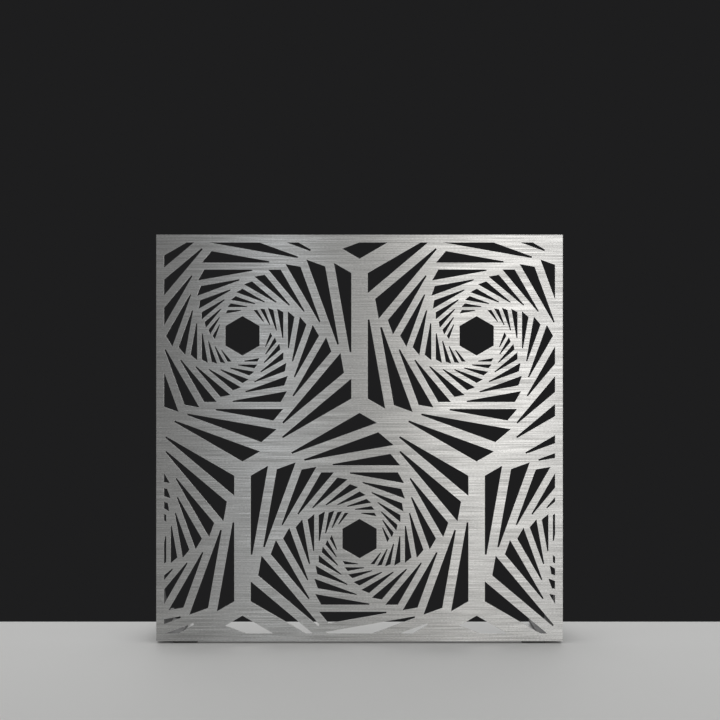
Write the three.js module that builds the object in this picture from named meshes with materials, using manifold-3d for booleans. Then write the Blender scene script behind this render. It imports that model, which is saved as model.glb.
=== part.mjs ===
// A free-standing screen of laser-cut stainless sheet, in millimetres, +Z up, front towards -Y.
// Studs welded to the back of the sheet clamp it to a mitred frame of angle, corner plates tie
// the frame's mitres, and two feet screwed to the stiles reach back and hold the screen upright.
// Depths are counted from the front of the sheet, and heights from the floor.

import * as THREE from 'three';
import { mergeVertices } from 'three/addons/utils/BufferGeometryUtils.js';
import Module from 'manifold-3d';

// Face sheet
const SHEET_WIDTH = 1000;
const SHEET_HEIGHT = 1000;
const SHEET_THICKNESS = 3;
const SHEET_BORDER = 19; // uncut margin round the pattern

// Whirl pattern: rows of hexagonal tiles, each a nest of turned rings of six triangular slots,
// whose long points are cut off blunt
const TILE_PITCH = 576; // centre to centre along a row
const ROW_LIFT = 2; // line between the two rows, above the middle of the sheet
const TILE_BAND = 40.5; // metal between the outer slots of two neighbouring tiles
const RING_COUNT = 10;
const RING_TURN = 10; // degrees from one ring to the next
const OUTER_SLOT_DEPTH = 37.8; // corner to long side, in the two outer rings
const SLOT_DEPTH = 28.5; // corner to long side, in the third ring
const SLOT_TAPER = 0.83; // from there inwards, depth of a slot as a share of the slot outside it
const POINT_WIDTH = 1.6; // least width of a slot's blunt point
const POINT_SHARE = 0.065; // what a slot's depth adds to that width, as a share of the depth
const SLOT_BRIDGE = 6; // least metal between two slots of one ring
const BAR_WIDTH = 22.7; // metal between the first ring and the second
const BAR_TAPER = 0.866; // width of a bar as a share of the bar outside it
const HUB_HOLE = 84; // hexagonal hole in the middle of a tile, across its flats
const HUB_WALL = 10; // least metal between that hole and the last ring
const SMALLEST_CUT = 20; // area below which a slot clipped by the border is left uncut

// Frame of angle folded from sheet: its flange lies on the back of the face sheet, hidden by the
// border, and its web runs round the edge
const FLANGE_SETBACK = 1; // border that reaches past the flange
const ANGLE_WEB = 30;
const ANGLE_WALL = 3;
const BEND_RADIUS = 4; // outside of the fold
const MITRE_GAP = 0.4;

// Corner plates
const PLATE_PAST_STUD = 25; // from a stud to the end of the arm
const PLATE_SETBACK = 0.7; // flange that reaches past the plate
const PLATE_THICKNESS = 3;
const PLATE_CHAMFER = 5;

// Weld studs and flange nuts
const THREAD_DIAMETER = 5;
const STUD_PROUD = 2; // thread that shows past a nut on a corner plate
const STUD_BASE_DIAMETER = 6.4;
const STUD_BASE_HEIGHT = 0.9;
const STUD_TIP_CHAMFER = 0.7;
const STUD_END_DISTANCE = 45; // first and last stud of a side, from the corner
const NUT_ACROSS_FLATS = 8;
const NUT_HEIGHT = 5;
const NUT_FLANGE_DIAMETER = 11.8;
const NUT_FLANGE_HEIGHT = 1.2;

// Feet: an upright plate on a flat sole
const FOOT_REACH = 300; // front of the sheet to the back of the foot
const FOOT_HEIGHT = 260; // floor to the top of the plate
const FOOT_THICKNESS = 8;
const FOOT_TOE_HEIGHT = 30; // plate above the sole, at its back end
const FOOT_TOE_LENGTH = 24; // straight top edge at the back end
const FOOT_TOE_RADIUS = 12;
const FOOT_CURVE_STEPS = 12;
const SOLE_WIDTH = 50;
const SOLE_THICKNESS = 8;
const SOLE_CORNER_RADIUS = 6;
const ANCHOR_HOLE_DIAMETER = 9;
const ANCHOR_INSET = 100; // anchor holes from the two ends of the sole

// Countersunk screws from each stile into the foot plate
const SCREW_COUNT = 3;
const SCREW_END_DISTANCE = 32; // first and last screw, from the ends of the foot plate
const SCREW_LENGTH = 10.5;
const SCREW_HEAD_DIAMETER = 10;
const SCREW_HEAD_HEIGHT = 2.5;
const SCREW_SOCKET_FLATS = 3;
const SCREW_SOCKET_DEPTH = 1.6;

// Rubber pads
const PAD_THICKNESS = 5;
const SOLE_PAD_DIAMETER = 30;
const SOLE_PAD_INSET = 30; // pad centres from the two ends of the sole
const FRONT_PAD_LENGTH = 60;
const FRONT_PAD_WIDTH = 20;
const FRONT_PAD_RADIUS = 5;
const FRONT_PAD_INSET = 70; // pad centres from the sides of the screen

const CLEARANCE = 0.3;
const ROUND_STEPS = 14;
const ARC_STEPS = 8;
const BEND_STEPS = 3;
const MERGE_DISTANCE = 1e-4;

// Depths of the layers, from the front
const sheetBack = SHEET_THICKNESS;
const flangeBack = sheetBack + ANGLE_WALL;
const plateBack = flangeBack + PLATE_THICKNESS;
const studTip = plateBack + NUT_HEIGHT + STUD_PROUD;
const webBack = sheetBack + ANGLE_WEB;
const footFront = studTip + CLEARANCE;
const soleFront = webBack + CLEARANCE;
const screwDepth = (footFront + webBack) / 2;

// Heights and widths that pieces share
const sheetMiddle = PAD_THICKNESS + SHEET_HEIGHT / 2;
const soleTop = PAD_THICKNESS + SOLE_THICKNESS;
const webInside = SHEET_WIDTH / 2 - ANGLE_WALL;
const angleFlange = SHEET_BORDER - FLANGE_SETBACK;
const studInset = (angleFlange + BEND_RADIUS) / 2;
const threadHoleRadius = THREAD_DIAMETER / 2 + CLEARANCE;
const studHoleRadius = STUD_BASE_DIAMETER / 2 + CLEARANCE;

const steel = new THREE.MeshStandardMaterial({ color: 0xc4c3c0, roughness: 0.34, metalness: 1 });
const fastenerSteel = new THREE.MeshStandardMaterial({ color: 0xaaa9a6, roughness: 0.3, metalness: 1 });
const blackPaint = new THREE.MeshStandardMaterial({ color: 0x1b1b1c, roughness: 0.55, metalness: 0 });
const rubber = new THREE.MeshStandardMaterial({ color: 0x101010, roughness: 0.9, metalness: 0 });

const wasm = await Module();
wasm.setup();

const radians = THREE.MathUtils.degToRad;

function toSolid(geometry) {
  const bare = geometry.clone();
  bare.deleteAttribute('normal');
  bare.deleteAttribute('uv');
  const merged = mergeVertices(bare, MERGE_DISTANCE);
  const mesh = new wasm.Mesh({
    numProp: 3,
    vertProperties: merged.attributes.position.array,
    triVerts: new Uint32Array(merged.index.array),
  });
  return new wasm.Manifold(mesh);
}

function toGeometry(solid) {
  const mesh = solid.getMesh();
  const geometry = new THREE.BufferGeometry();
  geometry.setAttribute('position', new THREE.BufferAttribute(mesh.vertProperties, 3));
  geometry.setIndex(new THREE.BufferAttribute(mesh.triVerts, 1));
  geometry.computeVertexNormals();
  return geometry;
}

function cut(geometry, tools) {
  return toGeometry(wasm.Manifold.difference([toSolid(geometry), ...tools.map(toSolid)]));
}

function extrude(outline, depth, curveSegments) {
  return new THREE.ExtrudeGeometry(outline, { depth, bevelEnabled: false, curveSegments });
}

// These three take their outline in the plane that they are square to.
function extrudeX(outline, from, to, steps = ARC_STEPS) {
  const turn = new THREE.Matrix4().set(0, 0, 1, from, 1, 0, 0, 0, 0, 1, 0, 0, 0, 0, 0, 1);
  return extrude(outline, to - from, steps).applyMatrix4(turn);
}

function extrudeY(outline, from, to) {
  const turn = new THREE.Matrix4().set(1, 0, 0, 0, 0, 0, -1, to, 0, 1, 0, 0, 0, 0, 0, 1);
  return extrude(outline, to - from, ARC_STEPS).applyMatrix4(turn);
}

function extrudeZ(outline, from, to) {
  return extrude(outline, to - from, ARC_STEPS).translate(0, 0, from);
}

function polygon(points) {
  return new THREE.Shape(points.map(([across, up]) => new THREE.Vector2(across, up)));
}

function circle(across, up, radius) {
  return new THREE.Shape().absarc(across, up, radius, 0, 2 * Math.PI, false);
}

function roundedRectangle(left, low, right, high, radius) {
  const outline = new THREE.Shape();
  outline.absarc(right - radius, low + radius, radius, -Math.PI / 2, 0, false);
  outline.absarc(right - radius, high - radius, radius, 0, Math.PI / 2, false);
  outline.absarc(left + radius, high - radius, radius, Math.PI / 2, Math.PI, false);
  outline.absarc(left + radius, low + radius, radius, Math.PI, 1.5 * Math.PI, false);
  return outline;
}

function lathe(points) {
  const profile = points.map(([radius, along]) => new THREE.Vector2(radius, along));
  return new THREE.LatheGeometry(profile, ROUND_STEPS);
}

function place(group, name, geometry, material, x = 0, y = 0, z = 0) {
  const mesh = new THREE.Mesh(geometry, material);
  mesh.name = name;
  mesh.position.set(x, y, z);
  group.add(mesh);
  return mesh;
}

// Where two lines cross, each given by the angle of its normal and its distance from the middle.
function crossing(first, second) {
  const sine = Math.sin(second.angle - first.angle);
  const across = (first.distance * Math.sin(second.angle) - second.distance * Math.sin(first.angle)) / sine;
  const up = (second.distance * Math.cos(first.angle) - first.distance * Math.cos(second.angle)) / sine;
  return [across, up];
}

// The point at a distance from one corner of an outline, on the straight side to another.
function along(from, to, distance) {
  const share = distance / Math.hypot(to[0] - from[0], to[1] - from[1]);
  return [from[0] + share * (to[0] - from[0]), from[1] + share * (to[1] - from[1])];
}

// Distances of each ring's outer hexagon and of its slots' long sides from the tile's middle, and
// what a sharp slot would lose at its point to be as blunt as it is.
function ringSizes() {
  const corner = radians(30);
  const turn = radians(RING_TURN);
  const flare = 2 * Math.sin(turn / 2);
  const slotRun = 1 / Math.sin(turn) + 1 / Math.sin(2 * corner - turn) - POINT_SHARE / flare;
  const rings = [];
  let outer = (TILE_PITCH - TILE_BAND) / 2;
  for (let ring = 0; ring < RING_COUNT; ring += 1) {
    const longest = 2 * outer * Math.tan(corner) - SLOT_BRIDGE + POINT_WIDTH / flare;
    const wanted = ring < 2 ? OUTER_SLOT_DEPTH : SLOT_DEPTH * SLOT_TAPER ** (ring - 2);
    const depth = Math.min(wanted, longest / slotRun);
    const inner = outer * Math.cos(corner - turn) / Math.cos(corner) - depth;
    if (inner < HUB_HOLE / Math.sqrt(3) + HUB_WALL) {
      break;
    }
    rings.push({ outer, inner, pointLength: (POINT_WIDTH + POINT_SHARE * depth) / flare });
    outer = inner - BAR_WIDTH * BAR_TAPER ** ring;
  }
  return rings;
}

// One tile's cuts about its middle; whirl is 1 where the rings turn anticlockwise inwards, or -1.
function tileCuts(whirl) {
  const cuts = [];
  ringSizes().forEach(({ outer, inner, pointLength }, ring) => {
    for (let side = 0; side < 6; side += 1) {
      const corner = radians(whirl * RING_TURN * ring + 30 + 60 * side);
      const leading = { angle: corner + whirl * radians(30), distance: outer };
      const trailing = { angle: corner - whirl * radians(30), distance: outer };
      const long = { angle: corner - whirl * radians(30 - RING_TURN), distance: inner };
      const near = crossing(leading, trailing);
      const point = crossing(trailing, long);
      const far = crossing(long, leading);
      cuts.push([near, along(point, near, pointLength), along(point, far, pointLength), far]);
    }
  });
  const hubRadius = HUB_HOLE / Math.sqrt(3);
  const hub = [];
  for (let side = 0; side < 6; side += 1) {
    const corner = radians(30 + 60 * side);
    hub.push([hubRadius * Math.cos(corner), hubRadius * Math.sin(corner)]);
  }
  cuts.push(hub);
  return cuts;
}

// Keeps the part of a convex outline on the inner side of a line across one axis.
function clip(points, axis, limit, sign) {
  const kept = [];
  points.forEach((point, index) => {
    const next = points[(index + 1) % points.length];
    const here = sign * (limit - point[axis]);
    const there = sign * (limit - next[axis]);
    if (here >= 0) {
      kept.push(point);
    }
    if (here * there < 0) {
      const share = here / (here - there);
      kept.push([point[0] + share * (next[0] - point[0]), point[1] + share * (next[1] - point[1])]);
    }
  });
  return kept;
}

function area(points) {
  return Math.abs(THREE.ShapeUtils.area(points.map(([across, up]) => new THREE.Vector2(across, up))));
}

// Rows of tiles about the sheet's middle, each row half a pitch along from the last and whirling
// the other way, cut off at the border.
function patternCuts() {
  const rowPitch = TILE_PITCH * Math.sin(radians(60));
  const halfWidth = SHEET_WIDTH / 2 - SHEET_BORDER;
  const halfHeight = SHEET_HEIGHT / 2 - SHEET_BORDER;
  const rows = Math.ceil(halfHeight / rowPitch) + 1;
  const columns = Math.ceil(halfWidth / TILE_PITCH) + 1;
  const cuts = [];
  for (let row = -rows; row < rows; row += 1) {
    const shifted = row % 2 === 0;
    const tile = tileCuts(shifted ? 1 : -1);
    const middleUp = ROW_LIFT + (row + 0.5) * rowPitch;
    for (let column = -columns; column <= columns; column += 1) {
      const middleAcross = (column + (shifted ? 0.5 : 0)) * TILE_PITCH;
      for (const points of tile) {
        let kept = points.map(([across, up]) => [across + middleAcross, up + middleUp]);
        kept = clip(clip(kept, 0, halfWidth, 1), 0, -halfWidth, -1);
        kept = clip(clip(kept, 1, halfHeight, 1), 1, -halfHeight, -1);
        if (kept.length > 2 && area(kept) > SMALLEST_CUT) {
          cuts.push(kept);
        }
      }
    }
  }
  return cuts;
}

function faceSheet() {
  const right = SHEET_WIDTH / 2;
  const high = SHEET_HEIGHT / 2;
  const blank = polygon([[-right, -high], [right, -high], [right, high], [-right, high]]);
  const cutters = patternCuts().map((points) => extrudeY(polygon(points), -sheetBack, 2 * sheetBack));
  return cut(extrudeY(blank, 0, sheetBack), cutters);
}

// Studs of one side, from the middle of the side.
function studPlaces(length) {
  const end = length / 2 - STUD_END_DISTANCE;
  return [-end, -length / 6, length / 6, end];
}

// Across the folded angle, with the web along the first axis and the flange along the second.
function angleSection() {
  const middle = sheetBack + BEND_RADIUS;
  const section = new THREE.Shape();
  section.moveTo(webBack, 0);
  section.lineTo(webBack, ANGLE_WALL);
  section.absarc(middle, BEND_RADIUS, BEND_RADIUS - ANGLE_WALL, -Math.PI / 2, -Math.PI, true);
  section.lineTo(flangeBack, angleFlange);
  section.lineTo(sheetBack, angleFlange);
  section.absarc(middle, BEND_RADIUS, BEND_RADIUS, Math.PI, 1.5 * Math.PI, false);
  return section;
}

// A length of angle along X, mitred at both ends; Z counts inwards from the screen's edge.
function frameBar(length, screwPlaces) {
  const bar = extrudeX(angleSection(), -length / 2, length / 2, BEND_STEPS);
  const points = bar.attributes.position;
  for (let index = 0; index < points.count; index += 1) {
    const end = Math.sign(points.getX(index));
    points.setX(index, end * (length / 2 - points.getZ(index) - MITRE_GAP / 2));
  }
  const studHole = lathe([[0, 0], [studHoleRadius, 0], [studHoleRadius, webBack], [0, webBack]]);
  const tools = studPlaces(length).map((across) => studHole.clone().translate(across, 0, studInset));
  for (const across of screwPlaces) {
    tools.push(countersink().rotateX(Math.PI / 2).translate(across, screwDepth, 0));
  }
  return cut(bar, tools);
}

function cornerPlate() {
  const near = BEND_RADIUS + CLEARANCE;
  const far = angleFlange - PLATE_SETBACK;
  const end = STUD_END_DISTANCE + PLATE_PAST_STUD;
  const outline = polygon([
    [near + PLATE_CHAMFER, near],
    [end, near],
    [end, far],
    [far, far],
    [far, end],
    [near, end],
    [near, near + PLATE_CHAMFER],
  ]);
  outline.holes = [
    circle(STUD_END_DISTANCE, studInset, threadHoleRadius),
    circle(studInset, STUD_END_DISTANCE, threadHoleRadius),
  ];
  return extrudeY(outline, flangeBack, plateBack);
}

function weldStud() {
  const thread = THREAD_DIAMETER / 2;
  const base = STUD_BASE_DIAMETER / 2;
  return lathe([
    [0, sheetBack],
    [base, sheetBack],
    [base, sheetBack + STUD_BASE_HEIGHT],
    [thread, sheetBack + STUD_BASE_HEIGHT],
    [thread, studTip - STUD_TIP_CHAMFER],
    [thread - STUD_TIP_CHAMFER, studTip],
    [0, studTip],
  ]);
}

function flangeNut() {
  const hexagon = new THREE.CylinderGeometry(
    NUT_ACROSS_FLATS / Math.sqrt(3),
    NUT_ACROSS_FLATS / Math.sqrt(3),
    NUT_HEIGHT,
    6,
  ).translate(0, NUT_HEIGHT / 2, 0);
  const flange = NUT_FLANGE_DIAMETER / 2;
  const washer = lathe([[0, 0], [flange, 0], [flange, NUT_FLANGE_HEIGHT], [0, NUT_FLANGE_HEIGHT]]);
  const bore = new THREE.CylinderGeometry(threadHoleRadius, threadHoleRadius, 3 * NUT_HEIGHT, ROUND_STEPS);
  return toGeometry(toSolid(hexagon).add(toSolid(washer)).subtract(toSolid(bore)));
}

function screwHeights() {
  const low = soleTop + SCREW_END_DISTANCE;
  const high = FOOT_HEIGHT - SCREW_END_DISTANCE;
  const heights = [];
  for (let screw = 0; screw < SCREW_COUNT; screw += 1) {
    heights.push(low + (high - low) * screw / (SCREW_COUNT - 1));
  }
  return heights;
}

// A countersunk screw along +Y, with its flat head at zero and a hexagonal socket.
function footScrew() {
  const thread = THREAD_DIAMETER / 2;
  const body = lathe([
    [0, 0],
    [SCREW_HEAD_DIAMETER / 2, 0],
    [thread, SCREW_HEAD_HEIGHT],
    [thread, SCREW_LENGTH - STUD_TIP_CHAMFER],
    [thread - STUD_TIP_CHAMFER, SCREW_LENGTH],
    [0, SCREW_LENGTH],
  ]);
  const flats = SCREW_SOCKET_FLATS / Math.sqrt(3);
  const socket = new THREE.CylinderGeometry(flats, flats, 2 * SCREW_SOCKET_DEPTH, 6);
  return cut(body, [socket]);
}

// The screw's hole through the web, wider than the screw by the clearance all round.
function countersink() {
  const head = SCREW_HEAD_DIAMETER / 2 + CLEARANCE;
  return lathe([
    [0, -ANGLE_WALL],
    [head, -ANGLE_WALL],
    [head, 0],
    [threadHoleRadius, SCREW_HEAD_HEIGHT],
    [threadHoleRadius, 2 * ANGLE_WALL],
    [0, 2 * ANGLE_WALL],
  ]);
}

// The foot's side view: a straight front edge, a long hollow curve behind and a rounded toe.
function footPlateOutline() {
  const radius = FOOT_TOE_RADIUS;
  const toeTop = soleTop + FOOT_TOE_HEIGHT;
  const curveEnd = FOOT_REACH - FOOT_TOE_LENGTH;
  const curveDepth = curveEnd - webBack;
  const curveHeight = FOOT_HEIGHT - toeTop;
  const outline = new THREE.Shape();
  outline.moveTo(footFront, soleTop);
  outline.lineTo(FOOT_REACH, soleTop);
  outline.absarc(FOOT_REACH - radius, toeTop - radius, radius, 0, Math.PI / 2, false);
  outline.absellipse(curveEnd, FOOT_HEIGHT, curveDepth, curveHeight, -Math.PI / 2, -Math.PI, true);
  outline.lineTo(footFront, FOOT_HEIGHT);
  outline.holes = screwHeights().map((height) => circle(screwDepth, height, threadHoleRadius));
  return outline;
}

function soleOutline(outside, inside) {
  const left = Math.min(outside, inside);
  const right = Math.max(outside, inside);
  const outline = roundedRectangle(left, soleFront, right, FOOT_REACH, SOLE_CORNER_RADIUS);
  const middle = inside + (outside - inside) * (SOLE_WIDTH - FOOT_THICKNESS) / SOLE_WIDTH / 2;
  outline.holes = [soleFront + ANCHOR_INSET, FOOT_REACH - ANCHOR_INSET].map((depth) => (
    circle(middle, depth, ANCHOR_HOLE_DIAMETER / 2)
  ));
  return outline;
}

const screen = new THREE.Group();
screen.position.y = -FOOT_REACH / 2;

place(screen, 'face_sheet', faceSheet(), steel, 0, 0, sheetMiddle);

// The four sides are alike: each group is turned so that its Z points into the screen.
const sides = [
  { name: 'bottom', bar: 'frame_bottom_rail', corner: 'bottom_left', x: 0, z: -1, turn: 0 },
  { name: 'left', bar: 'frame_left_stile', corner: 'top_left', x: -1, z: 0, turn: 90 },
  { name: 'top', bar: 'frame_top_rail', corner: 'top_right', x: 0, z: 1, turn: 180 },
  { name: 'right', bar: 'frame_right_stile', corner: 'bottom_right', x: 1, z: 0, turn: 270 },
];
const studGeometry = weldStud();
const nutGeometry = flangeNut();
for (const { name, bar, corner, x, z, turn } of sides) {
  const side = new THREE.Group();
  const length = x === 0 ? SHEET_WIDTH : SHEET_HEIGHT;
  side.position.set(x * SHEET_WIDTH / 2, 0, sheetMiddle + z * SHEET_HEIGHT / 2);
  side.rotation.y = radians(turn);
  screen.add(side);
  const screwPlaces = x === 0 ? [] : screwHeights().map((height) => x * (height - sheetMiddle));
  place(side, bar, frameBar(length, screwPlaces), steel);
  place(side, `corner_plate_${corner}`, cornerPlate(), steel, -length / 2);
  studPlaces(length).forEach((across, index, all) => {
    const onPlate = index === 0 || index === all.length - 1;
    const seat = onPlate ? plateBack : flangeBack;
    place(side, `weld_stud_${name}_${index + 1}`, studGeometry, fastenerSteel, across, 0, studInset);
    place(side, `flange_nut_${name}_${index + 1}`, nutGeometry, fastenerSteel, across, seat, studInset);
  });
}

const screwGeometry = footScrew();
for (const [name, sign] of [['left', -1], ['right', 1]]) {
  const outside = sign * webInside;
  const plateInside = outside - sign * FOOT_THICKNESS;
  const soleInside = outside - sign * SOLE_WIDTH;
  const left = Math.min(outside, plateInside);
  const plate = extrudeX(footPlateOutline(), left, left + FOOT_THICKNESS, FOOT_CURVE_STEPS);
  place(screen, `foot_plate_${name}`, plate, blackPaint);
  const sole = extrudeZ(soleOutline(outside, soleInside), PAD_THICKNESS, soleTop);
  place(screen, `foot_sole_${name}`, sole, blackPaint);
  screwHeights().forEach((height, index) => {
    const screw = place(screen, `foot_screw_${name}_${index + 1}`, screwGeometry, fastenerSteel);
    screw.position.set(sign * SHEET_WIDTH / 2, screwDepth, height);
    screw.rotation.z = sign * Math.PI / 2;
  });
  const padDepths = { front: soleFront + SOLE_PAD_INSET, rear: FOOT_REACH - SOLE_PAD_INSET };
  for (const [end, depth] of Object.entries(padDepths)) {
    const pad = extrudeZ(circle((outside + soleInside) / 2, depth, SOLE_PAD_DIAMETER / 2), 0, PAD_THICKNESS);
    place(screen, `sole_pad_${name}_${end}`, pad, rubber);
  }
  const padMiddle = sign * (SHEET_WIDTH / 2 - FRONT_PAD_INSET);
  const padFront = sheetBack + (ANGLE_WEB - FRONT_PAD_WIDTH) / 2;
  const frontPad = roundedRectangle(
    padMiddle - FRONT_PAD_LENGTH / 2,
    padFront,
    padMiddle + FRONT_PAD_LENGTH / 2,
    padFront + FRONT_PAD_WIDTH,
    FRONT_PAD_RADIUS,
  );
  place(screen, `front_pad_${name}`, extrudeZ(frontPad, 0, PAD_THICKNESS), rubber);
}

export default screen;
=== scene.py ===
# A free-standing screen of laser-cut stainless sheet, in metres, +Z up, front towards -Y.
# Each section is one piece of the screen, or one group of like pieces, in the order of assembly.

import bmesh
import bpy
import numpy as np
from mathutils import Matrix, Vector
from mathutils.geometry import delaunay_2d_cdt


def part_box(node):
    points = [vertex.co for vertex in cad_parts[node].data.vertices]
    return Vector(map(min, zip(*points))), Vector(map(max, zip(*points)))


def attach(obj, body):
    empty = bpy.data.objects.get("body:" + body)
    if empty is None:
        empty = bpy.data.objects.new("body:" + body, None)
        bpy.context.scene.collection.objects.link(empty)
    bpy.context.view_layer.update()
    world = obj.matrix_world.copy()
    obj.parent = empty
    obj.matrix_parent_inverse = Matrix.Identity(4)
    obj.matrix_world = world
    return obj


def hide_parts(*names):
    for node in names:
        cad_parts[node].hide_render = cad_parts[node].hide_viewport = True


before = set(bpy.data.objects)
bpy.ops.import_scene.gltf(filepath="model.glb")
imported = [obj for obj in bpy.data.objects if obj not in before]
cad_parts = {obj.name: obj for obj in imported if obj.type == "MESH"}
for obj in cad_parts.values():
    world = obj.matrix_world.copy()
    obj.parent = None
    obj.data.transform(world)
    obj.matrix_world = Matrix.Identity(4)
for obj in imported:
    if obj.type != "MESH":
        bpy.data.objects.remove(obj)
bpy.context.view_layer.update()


# ---- Face sheet -------------------------------------------------------------------------------
# A stainless sheet, brushed sideways on its front and left as rolled on its back. A laser cut
# every opening, and both rims of each cut and of the sheet were then broken with a hand file.

FILED_AND_HIGHLIT_BAND = 0.0011  # band that the file leaves on the brushed face at each rim, painted brighter there as a highlight
FRONT_BREAK = 0.00032  # rounding of the front rims
BACK_BREAK = 0.00016  # rounding of the back rims
TURN_STEPS = 6  # flats round the point of an opening
OUTLINE_REACH = 4  # doublings of a walk round an outline, so that it passes 16 corners
WALL_TILT = 0.2  # part of a wall's direction that may point forwards or back
MICRON = 1e-6


def points_of(mesh):
    """A mesh's corner places as rows of x, y, z."""
    places = np.empty(len(mesh.vertices) * 3)
    mesh.vertices.foreach_get("co", places)
    return places.reshape(-1, 3)


def triangles_of(mesh):
    """A mesh's triangles as rows of three corner numbers."""
    mesh.calc_loop_triangles()
    corners = np.empty(len(mesh.loop_triangles) * 3, np.int32)
    mesh.loop_triangles.foreach_get("vertices", corners)
    return corners.reshape(-1, 3)


def normals_of(mesh):
    """The outward direction of each face."""
    normals = np.empty(len(mesh.polygons) * 3)
    mesh.polygons.foreach_get("normal", normals)
    return normals.reshape(-1, 3)


def grid_faces(rows, columns, round_rows=False, round_columns=False):
    """Quads of a grid, row by row. A round direction also joins its last line to its first."""
    row = np.arange(rows if round_rows else rows - 1)[:, None]
    column = np.arange(columns if round_columns else columns - 1)[None, :]
    next_row = (row + 1) % rows
    next_column = (column + 1) % columns
    corners = (
        row * columns + column,
        row * columns + next_column,
        next_row * columns + next_column,
        next_row * columns + column,
    )
    return np.stack(np.broadcast_arrays(*corners), axis=-1).reshape(-1, 4)


def closed_mesh(name, points, faces):
    """A mesh whose corners within a micron are one corner, with its faces turned outwards."""
    mesh = bpy.data.meshes.new(name)
    mesh.from_pydata(np.reshape(points, (-1, 3)), [], faces)
    shell = bmesh.new()
    shell.from_mesh(mesh)
    bmesh.ops.remove_doubles(shell, verts=shell.verts, dist=MICRON)
    bmesh.ops.recalc_face_normals(shell, faces=shell.faces)
    shell.to_mesh(mesh)
    shell.free()
    return mesh


def lay_grain(mesh, grain):
    """A UV map named grain: U is the place across the grain and V along it, in metres.

    V is the place's dot product with the grain's direction, and U its dot product with the face's
    normal crossed with that direction. grain is one direction, or one for each face."""
    normals = normals_of(mesh)
    along = np.broadcast_to(np.array(grain, float), normals.shape).copy()
    end_on = np.abs((normals * along).sum(axis=1)) > 0.9
    along[end_on] = along[end_on][:, [1, 2, 0]]
    across = np.cross(normals, along)
    loops = np.empty(len(mesh.loops), np.int32)
    mesh.loops.foreach_get("vertex_index", loops)
    sides = np.empty(len(mesh.polygons), np.int32)
    mesh.polygons.foreach_get("loop_total", sides)
    face = np.repeat(np.arange(len(sides)), sides)
    places = points_of(mesh)[loops]
    chart = [(places * across[face]).sum(axis=1), (places * along[face]).sum(axis=1)]
    layer = mesh.uv_layers.new(name="grain")
    layer.uv.foreach_set("vector", np.stack(chart, axis=1).astype(np.float32).ravel())


def add_piece(mesh, *finishes):
    """Puts a finished mesh into the scene under its own name, on the screen's one body."""
    piece = bpy.data.objects.new(mesh.name, mesh)
    bpy.context.scene.collection.objects.link(piece)
    for finish in finishes:
        mesh.materials.append(finish)
    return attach(piece, "root")


def add_node(tree, kind, feeds=None, **settings):
    """One shader node. feeds gives each input by name or number: a value, or the socket that leads to it."""
    made = tree.nodes.new(kind)
    for name, value in settings.items():
        setattr(made, name, value)
    for key, value in (feeds or {}).items():
        if isinstance(value, bpy.types.NodeSocket):
            tree.links.new(value, made.inputs[key])
        else:
            made.inputs[key].default_value = value
    return made


def maths(tree, operation, *values):
    """The result of one sum on numbers or sockets."""
    return add_node(tree, "ShaderNodeMath", dict(enumerate(values)), operation=operation).outputs[0]


def plus(tree, first, second):
    """Two values added together."""
    return maths(tree, "ADD", first, second)


def times(tree, first, second):
    """Two values multiplied together."""
    return maths(tree, "MULTIPLY", first, second)


def carry(tree, value, low, high, new_low, new_high):
    """Carries a value's place between low and high to the same place between two new ends."""
    feeds = {"Value": value, "From Min": low, "From Max": high, "To Min": new_low, "To Max": new_high}
    return add_node(tree, "ShaderNodeMapRange", feeds).outputs["Result"]


def blend(tree, share, first, second):
    """The first value where share is nought, and the second where it is one."""
    return add_node(tree, "ShaderNodeMix", {0: share, 2: first, 3: second}).outputs[0]


def blend_colours(tree, share, first, second):
    """The first colour where share is nought, and the second where it is one."""
    feeds = {"Factor": share, 6: first, 7: second}
    return add_node(tree, "ShaderNodeMix", feeds, data_type="RGBA").outputs[2]


def noise(tree, place, scale, detail=2.0, roughness=0.5, dimensions="3D"):
    """Cloudy noise from nought to one, with scale lumps in a unit of place."""
    feeds = {"Vector": place, "Scale": scale, "Detail": detail, "Roughness": roughness}
    return add_node(tree, "ShaderNodeTexNoise", feeds, noise_dimensions=dimensions).outputs["Fac"]


def start_effect(name, takes, gives):
    """An empty node group: its tree, its inputs, and its output node. takes is {name: (kind, value)}."""
    tree = bpy.data.node_groups.new(name, "ShaderNodeTree")
    for socket, (kind, value) in takes.items():
        made = tree.interface.new_socket(name=socket, in_out="INPUT", socket_type="NodeSocket" + kind)
        if value is not None:
            made.default_value = value
    for socket in gives:
        tree.interface.new_socket(name=socket, in_out="OUTPUT", socket_type="NodeSocketFloat")
    return tree, add_node(tree, "NodeGroupInput").outputs, add_node(tree, "NodeGroupOutput")


def use_effect(tree, effect, **feeds):
    """The outputs of a node group placed in a material. An underscore in a feed's name stands for a space."""
    named = {key.replace("_", " "): value for key, value in feeds.items()}
    return add_node(tree, "ShaderNodeGroup", named, node_tree=effect).outputs


def start_finish(name, roughness, metallic):
    """A new material: its tree, and its Principled shader."""
    finish = bpy.data.materials.new(name)
    finish.use_nodes = True
    shader = finish.node_tree.nodes["Principled BSDF"]
    shader.inputs["Roughness"].default_value = roughness
    shader.inputs["Metallic"].default_value = metallic
    return finish, finish.node_tree, shader


def object_place(tree):
    """The place on the piece, in metres."""
    return add_node(tree, "ShaderNodeTexCoord").outputs["Object"]


def grain_chart(tree):
    """The place across and along the grain."""
    return add_node(tree, "ShaderNodeUVMap", uv_map="grain").outputs[0]


def feed(tree, shader, **values):
    """Leads values to the shader's inputs. An underscore in a name stands for a space."""
    for name, value in values.items():
        tree.links.new(value, shader.inputs[name.replace("_", " ")])


def add_relief(tree, shader, height, depth, strength):
    """Lets the light fall as on a surface with this relief, from nought to depth in metres."""
    bump = add_node(tree, "ShaderNodeBump", {"Strength": strength, "Distance": depth, "Height": height})
    feed(tree, shader, Normal=bump.outputs[0])


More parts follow.
